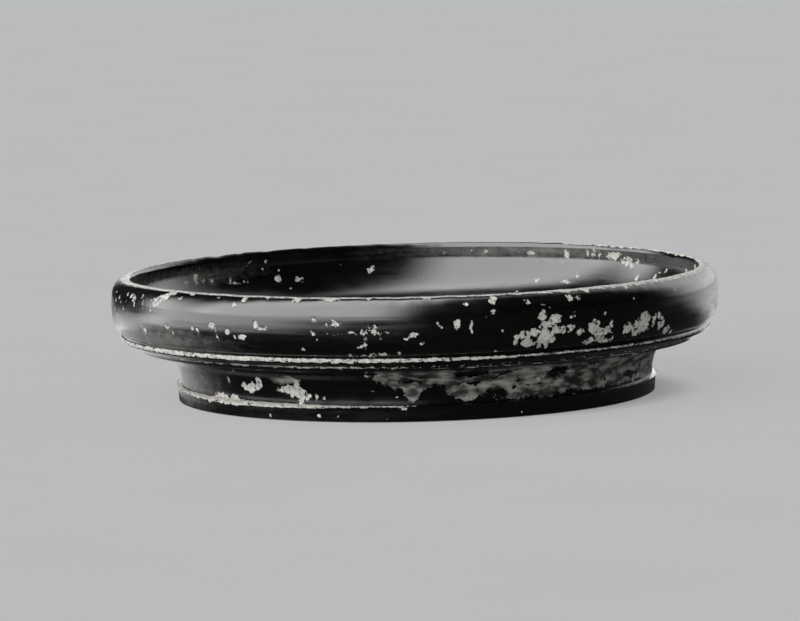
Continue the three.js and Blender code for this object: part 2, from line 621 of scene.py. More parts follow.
WALL_WEAR = Wear(
    flakes=flaked(
        # Left end: a spray of small spots, and a slanting patch that runs up to the lip
        (-78, 28.3, 1.1, 0.7), (-74, 27.5, 1.0, 0.7), (-77, 26.4, 1.0, 0.7), (-72.5, 26.6, 0.7, 0.6),
        (-71, 25, 0.8, 0.7), (-69.5, 28.5, 1.0, 0.8), (-69, 27, 0.8, 0.7), (-67, 28.6, 1.6, 0.9),
        (-65.5, 28.1, 1.8, 1.3), (-64.8, 27.2, 0.9, 1.6), (-62, 29, 0.9, 0.6), (-61, 27, 0.6, 1.3),
        (-58, 26.4, 0.6, 1.9), (-56, 28.2, 3.4, 2.2, 20), (-54.2, 29.3, 4.6, 2.2, 30),
        (-52.8, 30.2, 3.4, 1.6),
        # Small runs under the lip
        (-49.3, 29.3, 0.9, 0.5), (-47, 30.2, 1.4, 1.1), (-39.5, 30.0, 1.0, 0.9), (-33.6, 30.0, 2.0, 1.4),
        (-28.5, 30.3, 0.9, 0.8), (-22.4, 30.2, 1.7, 1.2), (-16, 30.3, 4.2, 1.1), (-8.5, 30.3, 0.9, 0.9),
        (2, 30.3, 1.9, 1.1), (29.5, 30.2, 1.6, 1.4), (34, 30.1, 1.3, 1.2), (43.5, 30.1, 1.5, 1.2),
        # Left of the middle
        (-35, 28.6, 1.0, 0.7), (-40, 23.9, 1.7, 1.1), (-39.1, 22.4, 2.8, 0.45, -76),
        (-43.7, 22.2, 0.9, 0.7), (-45, 22.6, 0.6, 0.6), (-36.3, 22.7, 1.3, 1.1), (-34.6, 21.4, 0.8, 1.0),
        (-33.2, 21.6, 1.7, 1.2, 15), (-30.2, 24.6, 1.3, 1.7), (-29, 23.7, 2.4, 0.55),
        (-18.6, 26.1, 1.2, 0.7), (-18.8, 22.7, 1.0, 0.9), (-18.2, 21.3, 0.5, 0.5), (-20.7, 19.2, 1.0, 0.9),
        (-19.5, 17.5, 1.0, 0.5), (-52.3, 22.6, 1.3, 0.9), (-50.6, 21, 0.6, 1.2, -20),
        (-60.5, 20.8, 0.6, 1.5, -20), (-62, 21.8, 0.6, 1.3, -20),
        # Middle
        (-16, 25, 0.8, 0.5, 30), (-14.3, 25, 1.5, 0.9), (-8.6, 24.7, 0.45, 0.8), (-7.2, 24.4, 1.4, 1.1),
        (-9.2, 23.2, 1.6, 0.8), (-7.6, 23.1, 1.8, 0.8), (-10.3, 22.8, 7.4, 0.3), (-9.1, 20.9, 0.55, 1.8),
        (-9.8, 20, 1.2, 0.5, 20), (-6.3, 21.6, 0.5, 0.5), (-1.8, 21.4, 1.2, 0.9, -15),
        (-0.5, 22.2, 1.9, 1.0, 15), (1.1, 20.6, 0.5, 0.7), (4.4, 24.3, 1.2, 0.8, -50),
        (7.4, 24.5, 1.7, 1.8), (10, 23.7, 0.9, 2.1), (9.3, 28.9, 1.0, 0.9), (14.3, 29.6, 2.1, 1.8),
        (14.3, 26.9, 0.8, 0.8), (20.8, 29, 1.9, 1.3, -35), (15.8, 22.6, 0.6, 0.7), (14.8, 17.9, 0.6, 0.5),
        # A row of chips just above the ridge
        (-12.3, 17.6, 1.3, 1.1, -35), (-11, 17.5, 0.6, 0.8), (-9.7, 17.5, 0.8, 0.9),
        (-8.2, 17.6, 1.5, 1.0, 20), (-6, 17.9, 2.0, 0.9), (-3, 18, 0.5, 1.5),
        # Right of the middle: single spots
        (23.7, 28, 0.5, 0.5), (24.8, 27.1, 0.5, 0.8), (29.6, 29, 2.0, 1.4), (31.3, 29, 1.8, 0.6, -20),
        (29.4, 24.5, 0.8, 0.6), (30, 25.3, 0.5, 0.8), (36.8, 24.7, 1.0, 0.8), (42, 26.8, 0.5, 0.5),
        (44, 27.4, 0.5, 0.6), (57, 28, 0.8, 1.2),
        # First flaked cluster
        (23.6, 25.3, 2.2, 2.7), (24.2, 23.6, 3.0, 1.8), (26, 24.4, 3.4, 2.4, 20),
        (27.5, 21.9, 2.3, 1.8, 20), (26.2, 21.9, 2.4, 1.5), (23.8, 21.7, 2.8, 1.8), (21.9, 21.8, 2.0, 1.8),
        (20.2, 21.2, 3.5, 2.2), (18.4, 20.2, 1.3, 2.9), (20.8, 19.2, 3.5, 2.0), (24, 20, 4.0, 2.5),
        (25.4, 19.9, 1.6, 2.5), (24.7, 18.3, 1.0, 1.6), (23, 18.5, 1.1, 1.3),
        # Second flaked cluster
        (29.4, 22.1, 1.6, 1.4), (31.3, 20.8, 1.7, 1.3), (34.5, 22.4, 3.1, 2.2), (34.4, 21.2, 3.3, 1.8),
        (36.1, 20, 3.6, 2.7), (38.2, 22, 1.3, 2.2, -20), (37.5, 20.7, 2.1, 1.8), (33.5, 18.5, 3.5, 1.5, 12),
        (36.1, 18.7, 3.2, 1.6), (39, 18.6, 1.0, 1.5), (33.4, 21.3, 1.0, 0.9), (37.5, 18.2, 1.4, 1.5),
        # Third and fourth, breaking up towards the right
        (42.5, 20.7, 3.2, 2.4), (45.6, 21.3, 4.4, 3.2, 20), (47, 22.6, 3.5, 3.1), (44.9, 19.6, 3.1, 2.2),
        (46.7, 20, 3.7, 2.2), (49.5, 21.2, 1.2, 2.2, -15), (49.7, 22.4, 1.6, 1.3), (51, 22.8, 1.3, 1.3),
        (51.6, 20.2, 1.6, 2.0), (52.4, 20.5, 1.1, 1.8), (51.8, 22, 1.1, 1.1), (54.2, 18.8, 2.8, 2.2),
        (56.7, 18.1, 1.3, 1.1),
    ),
    scatters=(
        Scatter(21, 26, (86, 276), (18.2, 30), (0.5, 3.0)),
        Scatter(22, 60, (84, 278), (17.8, 30.2), (0.4, 1.1), 5, 3),
    ),
    lines=(
        WornLine(
            30.5,
            ((-90, 1.2), (-60, 0.8), (-40, 0.55), (0, 0.5), (16, 0.65), (24, 1.1), (45, 1.9), (70, 2.1),
             (98, 2.2), (110, 2.9), (142, 2.7), (156, 1.0), (180, 1.0), (220, 0.7), (240, 1.2)),
            ((-80, 3), (12, 3), (26, 1), (80, 1), (120, 2), (220, 2)),
        ),
        # Pale line on the ridge: worn bare clay, and also a painted highlight, widest on the left where the
        # light falls and thin on the right
        WornLine(
            16.28,
            ((-80, 0.7), (-60, 0.95), (-30, 0.95), (0, 0.85), (14, 0.6), (22, 0.26), (60, 0.24), (75, 0.2),
             (100, 0.6), (160, 0.9), (200, 0.5), (250, 0.8)),
            ((-80, 3), (-10, 2.5), (16, 2.5), (80, 2.5), (120, 2), (220, 2)),
        ),
    ),
    rubbed=(
        WornLine(16.3, ((12, -0.4), (20, 0.6), (60, 0.5), (76, 0.3), (90, -0.4)), ((0, 4),)),
    ),
    # Grey haze: partly dulled gloss, and partly painted sheen for the pale floor mirrored on the lower left
    # and at the right end
    haze_and_painted_sheen=flaked(
        (-80, 20.5, 62, 9), (-55, 19, 52, 6.5), (88, 23, 44, 18), (73, 20, 22, 7),
    ),
)

FOOT_WEAR = Wear(
    flakes=flaked(
        (-47.7, 14.4, 3.0, 0.5), (-46, 11.4, 1.0, 0.6), (-50, 8.5, 1.2, 0.6, -50), (-54, 4.6, 5.0, 1.3),
        (-49, 4.3, 3.6, 1.5),
        # First chip on the neck, with its arm
        (-45.3, 7.8, 1.8, 1.1), (-44, 7.2, 3.5, 1.6, -20), (-41.9, 7.5, 3.4, 2.2), (-39.8, 8.9, 1.7, 2.3),
        (-39.9, 9.9, 1.1, 1.1),
        # Second chip
        (-32.8, 7.6, 3.5, 1.5), (-30.4, 7.2, 4.2, 2.5, -20), (-28.4, 6.9, 3.3, 3.0), (-28.2, 5.1, 1.0, 1.4),
        (-26.6, 6.2, 1.6, 1.5), (-24.3, 5.8, 0.9, 1.6), (-29.2, 9.2, 1.5, 1.6),
        # Single spots on neck, flange and base
        (-11, 11.3, 1.3, 0.9), (48.8, 13.5, 1.1, 0.7), (-3.4, 3.5, 1.8, 0.8, -20), (-2.3, 2.2, 0.9, 0.5),
        (18.4, 5.2, 0.9, 0.9), (10.5, 5, 0.6, 0.5), (-37, 1.2, 0.7, 0.5), (-58, 2.9, 0.6, 0.5),
        (40, 4.2, 0.6, 0.5), (68, 6, 1.4, 1.0, 40), (72, 5.4, 1.2, 0.8),
    ),
    scatters=(
        Scatter(31, 14, (84, 276), (4.6, 11), (0.5, 3.4)),
        Scatter(32, 30, (80, 280), (1, 14.6), (0.35, 1.0), 5, 3),
        Scatter(33, 9, (-70, 75), (1.2, 11), (0.3, 0.6), 3, 2),
    ),
    lines=(
        WornLine(
            14.45,
            ((-80, 0.1), (-50, 0.3), (-30, 0.5), (-22, 0.8), (-9, 0.7), (0, 0.1), (14, -0.25), (45, -0.2),
             (60, 0.1), (120, 0.5), (180, 0.2), (230, 0.6)),
            ((0, 0.6),),
        ),
        # Pale line on the foot's ridge: worn bare clay, and also a painted highlight, broad on the lit left
        # and gone on the right
        WornLine(
            3.95,
            ((-85, 1.5), (-60, 1.8), (-50, 2.4), (-40, 1.8), (-24, 1.5), (-19, 0.7), (-8, 0.5), (-2, 0.3),
             (4, -0.3), (30, -0.4), (80, 0.0), (100, 0.9), (150, 0.6), (190, 1.1), (240, 0.8)),
            ((-80, 2), (-10, 2), (20, 1), (120, 1.5)),
        ),
    ),
    rubbed=(
        Patch(((-9, 12.2), (-10, 10.6), (-6, 8.6), (-2.5, 7), (-0.5, 4.7), (1, 5), (2, 8), (6, 8.2),
               (8.5, 5.6), (12.5, 4.5), (15, 5.4), (20.5, 4.4), (27, 4.35), (35, 4.4), (37, 5.4), (47, 5),
               (60, 4.9), (84, 4.6), (92, 8), (84, 12.2), (40, 12.6), (10, 12.4))),
        WornLine(13.9, ((-3, -0.4), (4, 0.4), (50, 0.5), (66, -0.3)), ((0, 3),)),
        Patch(((-37, 10.5), (-34, 10.6), (-30.5, 11.3), (-28, 9.6), (-31, 8.6), (-35, 9))),
        Patch(((150, 11.6), (170, 12), (205, 10), (215, 6.5), (185, 5), (160, 6))),
    ),
    kept=flaked(
        (4.5, 6.4, 4.7, 4.6), (18.3, 6, 5.4, 3.2), (12.6, 11.4, 8.6, 2.6), (20.5, 11, 4, 1.2, 25),
        (34.4, 10.4, 4.8, 3.4), (44, 11.5, 5, 1.2, 10),
    ),
    # Grey haze: partly dulled gloss, and partly painted sheen where the foot would mirror the pale floor
    haze_and_painted_sheen=flaked((-78, 7.5, 50, 9), (-74, 2, 34, 5), (80, 8, 30, 9)),
)

INSIDE_WEAR = Wear(
    flakes=flaked(
        # Far wall, left half
        (-170.7, 24.1, 1.3, 1.9, -30), (-149.5, 23.2, 1.6, 1.9), (-154.3, 22.7, 2.0, 1.6, -30),
        (-147, 27.8, 0.8, 0.8), (-146, 26, 0.8, 0.9), (-137.4, 24.6, 0.4, 2.2),
        (-139.6, 23.2, 4.6, 0.4, -5), (-127.3, 25.4, 1.3, 2.4), (-129.4, 24.8, 1.0, 1.2),
        (-131.9, 24.7, 1.3, 1.2), (-124, 24.8, 1.2, 0.8),
        # Far wall, right half: a ragged patch and spots under the lip
        (133.5, 28.1, 5.0, 2.0, 10), (129.5, 27.1, 4.6, 1.8, 12), (127.6, 26.2, 1.4, 2.0),
        (126, 27, 1.6, 1.1), (137.6, 28.2, 0.8, 2.0), (139, 28.3, 0.9, 1.8), (140.6, 28.4, 0.8, 1.5),
        (146, 28, 1.4, 2.2), (154.6, 28, 1.7, 1.1), (164.6, 28.1, 0.8, 0.7), (167.6, 28.5, 0.7, 0.7),
        (169.5, 28, 0.9, 0.8), (173.6, 28.2, 0.8, 0.7), (125, 23.4, 1.6, 1.6), (118.6, 23.9, 1.5, 1.6),
        (115, 25.6, 0.8, 1.3), (144.9, 21.2, 3.0, 1.4), (142.8, 22.6, 1.7, 1.0), (152, 21, 1.6, 1.0),
    ),
    scatters=(
        Scatter(41, 30, (-100, 100), (19, 29), (0.5, 2.4)),
        Scatter(42, 40, (-180, 180), (16, 29), (0.35, 0.8), 6, 2),
        Scatter(43, 16, (-180, 180), (15.41, 15.8), (0.5, 1.6), 9, 4),
    ),
    # Grey haze: partly dulled gloss, and partly painted sheen on the lower left inside and under the far lip
    haze_and_painted_sheen=flaked((-118, 26, 60, 5.5), (148, 28.6, 90, 4.4)),
    pit=0.05,
)


# Shader maths


class Ray(Enum):
    """The kinds of ray that a surface tells apart."""

    CAMERA = "Is Camera Ray"
    MIRRORED = "Is Glossy Ray"
    THROUGH = "Is Transmission Ray"


class Value:
    """A number in a node tree that takes part in sums."""

    RISE = {"interpolation_type": "SMOOTHSTEP"}

    def __init__(self, nodes: "Nodes", socket: Socket) -> None:
        """Wraps a socket that gives a number."""
        self.nodes = nodes
        self.socket = socket

    def __add__(self, other: "Value | float") -> "Value":
        """This plus the other."""
        return self.nodes.math("ADD", self, other)

    def __sub__(self, other: "Value | float") -> "Value":
        """This less the other."""
        return self.nodes.math("SUBTRACT", self, other)

    def __rsub__(self, other: float) -> "Value":
        """The other less this."""
        return self.nodes.math("SUBTRACT", other, self)

    def __mul__(self, other: "Value | float") -> "Value":
        """This times the other."""
        return self.nodes.math("MULTIPLY", self, other)

    __radd__ = __add__
    __rmul__ = __mul__

    def rise(self, low: float, high: float) -> "Value":
        """Goes from 0 at low to 1 at high without a corner."""
        made = self.nodes.node("ShaderNodeMapRange", self.RISE, {0: self, 1: low, 2: high})
        return Value(self.nodes, made.outputs[0])


class Nodes:
    """Adds nodes to the tree of a material or of the world."""

    def __init__(self, tree: bpy.types.NodeTree) -> None:
        """Starts an empty tree."""
        self.tree = tree
        tree.nodes.clear()

    def node(self, kind: str, settings: dict[str, Any], sockets: dict[Any, Any]) -> bpy.types.Node:
        """Adds any node.

        Args:
            kind: The node's type.
            settings: Its settings, set first.
            sockets: Values or links for its sockets, by name or number.

        Returns:
            The node.
        """
        made = self.tree.nodes.new(kind)
        for name, setting in settings.items():
            setattr(made, name, setting)
        for key, value in sockets.items():
            source = value.socket if isinstance(value, Value) else value
            if isinstance(source, Socket):
                self.tree.links.new(source, made.inputs[key])
            else:
                made.inputs[key].default_value = source
        return made

    def math(self, operation: str, *values: "Value | float") -> Value:
        """Adds a sum on numbers."""
        made = self.node("ShaderNodeMath", {"operation": operation}, dict(enumerate(values)))
        return Value(self, made.outputs[0])

    def vector(self, operation: str, *values: Any) -> Socket:
        """Adds a sum on vectors that gives a vector."""
        made = self.node("ShaderNodeVectorMath", {"operation": operation}, dict(enumerate(values)))
        return made.outputs["Vector"]

    def measure(self, operation: str, *values: Any) -> Value:
        """Adds a sum on vectors that gives a number."""
        made = self.node("ShaderNodeVectorMath", {"operation": operation}, dict(enumerate(values)))
        return Value(self, made.outputs["Value"])

    def scaled(self, vector: Socket, scale: float) -> Socket:
        """Makes a vector longer or shorter."""
        made = self.node("ShaderNodeVectorMath", {"operation": "SCALE"}, {0: vector, "Scale": scale})
        return made.outputs["Vector"]

    def parts(self, vector: Socket) -> list[Value]:
        """Gives a vector's three numbers."""
        made = self.node("ShaderNodeSeparateXYZ", {}, {0: vector})
        return [Value(self, socket) for socket in made.outputs]

    def place(self) -> Socket:
        """Where a point lies on the piece, in millimetres."""
        made = self.node("ShaderNodeTexCoord", {}, {})
        return self.scaled(made.outputs["Object"], 1 / MM)

    def trace(self, trace: Trace) -> Value:
        """What the piece's points carry."""
        made = self.node("ShaderNodeAttribute", {"attribute_name": trace.value}, {})
        return Value(self, made.outputs["Fac"])

    def ray(self, kind: Ray) -> Value:
        """Gives 1 on rays of a kind and 0 on others."""
        return Value(self, self.node("ShaderNodeLightPath", {}, {}).outputs[kind.value])

    def noise(self, place: Socket, size: float, detail: float = 3, rough: float = 0.55) -> Value:
        """Adds soft noise from 0 to 1, by the size of its largest lumps and the strength of finer layers."""
        sockets = {"Vector": place, "Scale": 1 / size, "Detail": detail, "Roughness": rough}
        return Value(self, self.node("ShaderNodeTexNoise", {}, sockets).outputs[0])

    def streaks(
        self, place: Socket, along: Value, size: Point, detail: float = 3, rough: float = 0.55
    ) -> Value:
        """Adds soft noise that is drawn out along the turning direction, as by a brush or the wheel.

        Args:
            place: Where a point lies.
            along: How far along the outline it lies.
            size: About how long a streak is on the outer wall, and how wide.
            detail: How many finer layers the noise has.
            rough: How strong those are.

        Returns:
            The noise.
        """
        length, width = size
        level = self.vector("MULTIPLY", place, (1, 1, 0))
        around = self.scaled(self.vector("NORMALIZE", level), POTTING.belly_radius / length)
        across = self.node("ShaderNodeCombineXYZ", {}, {"Z": along * (1 / width)})
        return self.noise(self.vector("ADD", around, across.outputs[0]), 1, detail, rough)

    def cells(self, place: Socket, scale: float) -> tuple[Value, Value]:
        """Adds scattered cells.

        Args:
            place: Where they are read.
            scale: About how many of them lie along a millimetre.

        Returns:
            How far a point lies from its cell's middle, and the cell's own number from 0 to 1.
        """
        made = self.node("ShaderNodeTexVoronoi", {}, {"Vector": place, "Scale": scale})
        chance = self.node("ShaderNodeSeparateColor", {}, {0: made.outputs["Color"]})
        return Value(self, made.outputs["Distance"]), Value(self, chance.outputs[0])

    def mix(self, factor: "Value | float", first: Any, second: Any) -> Socket:
        """Blends two colours."""
        made = self.node("ShaderNodeMix", {"data_type": "RGBA"}, {0: factor, 6: first, 7: second})
        return made.outputs[2]

    def bump(self, height: Value) -> Socket:
        """Turns a height in millimetres into a bent normal."""
        return self.node("ShaderNodeBump", {}, {"Distance": MM, "Height": height}).outputs[0]

    def end(self, kind: str, sockets: dict[Any, Any]) -> None:
        """Ends a material's tree in a shader."""
        shader = self.node(kind, {}, sockets)
        self.node("ShaderNodeOutputMaterial", {}, {"Surface": shader.outputs[0]})


def new_material(name: str) -> tuple[Finish, Nodes]:
    """Starts a material.

    Args:
        name: Its name.

    Returns:
        The material and its node tree.
    """
    material = bpy.data.materials.new(name)
    material.use_nodes = True
    return material, Nodes(material.node_tree)


# Finishes


@dataclass(frozen=True)
class FiredClay:
    """Bare fired clay: fine, matt, a little stained, with marks from the wheel."""

    name: str
    light: Colour = (0.5, 0.47, 0.425, 1)
    dark: Colour = (0.36, 0.335, 0.3, 1)
    stain: Colour = (0.2, 0.185, 0.165, 1)
    grit: Colour = (0.14, 0.13, 0.12, 1)
    roughness: float = 0.86
    ior: float = 1.4
    cloud_size: float = 14.0
    smudge_size: float = 6.0
    pimple_size: float = 1.6
    grain_size: float = 0.35
    wheel_mark: Point = (60.0, 0.9)
    grits_along_mm: float = 0.8
    grit_reach: float = 0.19
    roughness_spread: float = 0.1
    wheel_height: float = 0.06
    grain_height: float = 0.02
    pimple_height: float = 0.02
    grit_depth: float = 0.02

    def material(self) -> Finish:
        """Makes the finish.

        Returns:
            The material.
        """
        material, nodes = new_material(self.name)
        place = nodes.place()
        cloud = nodes.noise(place, self.cloud_size, 4)
        grain = nodes.noise(place, self.grain_size, 3, 0.65)
        pimples = nodes.noise(place, self.pimple_size, 2)
        wheel = nodes.streaks(place, nodes.trace(Trace.ALONG), self.wheel_mark)
        smudge = nodes.noise(place, self.smudge_size, 5, 0.6).rise(0.56, 0.74)
        off_grit, _ = nodes.cells(place, self.grits_along_mm)
        grit = (self.grit_reach - off_grit).rise(0, 0.06)
        tone = (cloud * 0.6 + grain * 0.3 + wheel * 0.4 - 0.15).rise(0.2, 0.8)
        colour = nodes.mix(tone, self.dark, self.light)
        colour = nodes.mix(smudge * 0.4, colour, self.stain)
        colour = nodes.mix(grit * 0.5, colour, self.grit)
        height = wheel * self.wheel_height + grain * self.grain_height
        height = height + pimples * self.pimple_height - grit * self.grit_depth
        nodes.end("ShaderNodeBsdfPrincipled", {
            "Base Color": colour,
            "Roughness": grain * self.roughness_spread + (self.roughness - self.roughness_spread / 2),
            "IOR": self.ior,
            "Normal": nodes.bump(height),
        })
        return material


@dataclass(frozen=True)
class BlackGloss:
    """Thin black gloss: brushed, flaked down to the clay in spots, rubbed thin, and hazed grey in places,
    where the haze is partly painted sheen.
    """

    name: str
    deep: Colour = (0.0009, 0.0009, 0.0008, 1)
    thin: Colour = (0.0035, 0.0034, 0.003, 1)
    rubbed_dark: Colour = (0.016, 0.0155, 0.014, 1)
    rubbed_light: Colour = (0.44, 0.425, 0.385, 1)
    # Grey of the haze, which also serves as painted sheen where the gloss would mirror the pale floor
    haze_and_painted_sheen: Colour = (0.2, 0.196, 0.184, 1)
    clay_light: Colour = (0.62, 0.6, 0.555, 1)
    clay_dark: Colour = (0.2, 0.19, 0.17, 1)
    clay_roughness: float = 0.85
    roughness: float = 0.11
    ior: float = 1.5
    streak: Point = (14.0, 0.7)
    brush_mark: Point = (7.0, 0.25)
    blotch: Point = (9.0, 2.6)
    rubbed_patch: Point = (5.0, 1.7)
    island: Point = (6.5, 2.4)
    mottle_size: float = 2.2
    peel_size: float = 1.1
    lace_size: float = 1.0
    grain_size: float = 0.42
    chips_along_mm: float = 1.5
    pinholes_along_mm: float = 0.42
    pinhole_reach: float = 0.075
    streak_dulling: float = 0.08
    blotch_dulling: float = 0.1
    haze_dulling: float = 0.14
    rubbed_dulling: float = 0.35
    brush_height: float = 0.005
    streak_height: float = 0.011
    peel_height: float = 0.007
    rubbed_height: float = 0.02
    flake_depth: float = 0.03
    flake_grit: float = 0.03
    pinhole_depth: float = 0.02

    def material(self) -> Finish:
        """Makes the finish.

        Returns:
            The material.
        """
        material, nodes = new_material(self.name)
        place = nodes.place()
        along = nodes.trace(Trace.ALONG)
        streaks = nodes.streaks(place, along, self.streak, 4, 0.6)
        brush = nodes.streaks(place, along, self.brush_mark, 3, 0.6)
        blotch = nodes.streaks(place, along, self.blotch, 5, 0.65)
        patches = nodes.streaks(place, along, self.rubbed_patch, 3, 0.5)
        islands = nodes.streaks(place, along, self.island, 4, 0.55)
        mottle = nodes.noise(place, self.mottle_size, 5, 0.62)
        grain = nodes.noise(place, self.grain_size, 3, 0.6)
        peel = nodes.noise(place, self.peel_size, 2, 0.5)
        lace = nodes.noise(place, self.lace_size, 3, 0.55)

        # Where the gloss is gone, holed, rubbed or hazed, the haze being partly painted sheen
        _, chip = nodes.cells(place, self.chips_along_mm)
        loss = nodes.trace(Trace.LOSS)
        eaten = loss.rise(0.1, 0.8) * (lace - 0.5) * 7
        ragged = loss + eaten + (grain - 0.5) * 0.9 + (lace - 0.5) * 0.8 + (chip - 0.5) * 0.3
        bare = ragged.rise(-0.03, 0.07)
        off_hole, chance = nodes.cells(place, self.pinholes_along_mm)
        pinhole = (self.pinhole_reach - off_hole).rise(0, 0.03) * chance.rise(0.8, 0.95)
        rub = (nodes.trace(Trace.RUBBED) + (mottle - 0.5) * 3 + (grain - 0.5) * 1.2).rise(-0.1, 0.25)
        rub = rub * islands.rise(0.35, 0.39)
        haze_and_painted_sheen = (nodes.trace(Trace.HAZE_AND_PAINTED_SHEEN) + (mottle - 0.5) * 2.5 + (streaks - 0.5) * 2).rise(-1, 4)

        # Colours
        gloss = nodes.mix((streaks * 0.7 + mottle * 0.5).rise(0.45, 0.85), self.deep, self.thin)
        # Grey haze, partly dulled gloss and partly painted sheen standing in for the mirrored floor
        gloss = nodes.mix(haze_and_painted_sheen * (0.3 + mottle * 0.9), gloss, self.haze_and_painted_sheen)
        tone = (patches * 1.9 + lace * 0.25 + grain * 0.2 - 0.7).rise(0.25, 0.9)
        gloss = nodes.mix(rub * 0.95, gloss, nodes.mix(tone, self.rubbed_dark, self.rubbed_light))
        gloss = nodes.mix(pinhole * 0.7, gloss, self.clay_dark)
        worn = (grain * 0.6 + lace * 0.6 + mottle * 0.6).rise(0.62, 1.15)
        clay = nodes.mix(worn, self.clay_dark, self.clay_light)

        # Shine and relief
        dull = self.roughness + streaks * self.streak_dulling + blotch.rise(0.35, 0.75) * self.blotch_dulling
        dull = dull + haze_and_painted_sheen * self.haze_dulling + rub * self.rubbed_dulling
        height = brush * self.brush_height + streaks * self.streak_height + peel * self.peel_height
        height = height + rub * grain * self.rubbed_height - bare * self.flake_depth
        height = height + bare * grain * self.flake_grit - pinhole * self.pinhole_depth
        nodes.end("ShaderNodeBsdfPrincipled", {
            "Base Color": nodes.mix(bare, gloss, clay),
            "Roughness": dull * (1 - bare) + bare * self.clay_roughness,
            "IOR": self.ior,
            "Normal": nodes.bump(height),
        })
        return material


@dataclass(frozen=True)
class PaleFloor:
    """A plain pale matt floor that keeps part of the bowl's shadow and shows dimmer in the gloss nearby."""

    name: str
    light: Colour = (0.515, 0.522, 0.528, 1)
    dark: Colour = (0.5, 0.507, 0.513, 1)
    cloud_size: float = 60.0
    evenness: float = 0.84
    contact_evenness: float = 0.5
    contact: Point = (47.0, 60.0)
    contact_centre: tuple[float, float, float] = (12.0, 0.0, 0.0)
    near_mirrored: Colour = (0.05, 0.05, 0.05, 1)
    far_mirrored: Colour = (1, 1, 1, 1)
    far: Point = (140.0, 260.0)
    far_aside: Point = (100.0, 180.0)

    def material(self) -> Finish:
        """Makes the finish.

        Returns:
            The material.
        """
        material, nodes = new_material(self.name)
        place = nodes.place()
        colour = nodes.mix(nodes.noise(place, self.cloud_size, 4), self.dark, self.light)
        matt = nodes.node("ShaderNodeBsdfDiffuse", {}, {"Color": colour})
        mirrored = nodes.math("MAXIMUM", nodes.ray(Ray.MIRRORED), nodes.ray(Ray.THROUGH))
        aside, behind, _ = nodes.parts(place)
        far = behind.rise(*self.far) * (1 - nodes.math("ABSOLUTE", aside).rise(*self.far_aside))
        # The floor as mirrored in the gloss is painted: dark near the bowl, and brighter than the floor
        # itself far behind it
        image = nodes.mix(far, self.near_mirrored, self.far_mirrored)
        plain = nodes.node("ShaderNodeEmission", {}, {"Color": nodes.mix(mirrored, colour, image)})
        away = nodes.vector("SUBTRACT", place, self.contact_centre)
        clear = nodes.measure("LENGTH", away).rise(*self.contact)
        even = clear * (self.evenness - self.contact_evenness) + self.contact_evenness
        seen = nodes.math("MAXIMUM", even * nodes.ray(Ray.CAMERA), mirrored)
        nodes.end("ShaderNodeMixShader", {0: seen, 1: matt.outputs[0], 2: plain.outputs[0]})
        return material


# The bowl


def enter(piece: Piece, node: str, finish: Finish) -> None:
    """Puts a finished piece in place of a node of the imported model.

    Args:
        piece: The piece.
        node: The node that it stands for.
        finish: Its material.
    """
    piece.data.materials.append(finish)
    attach(piece, BODY)
    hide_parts(node)
    log.info("%s stands for %s with %d faces", piece.name, node, len(piece.data.polygons))


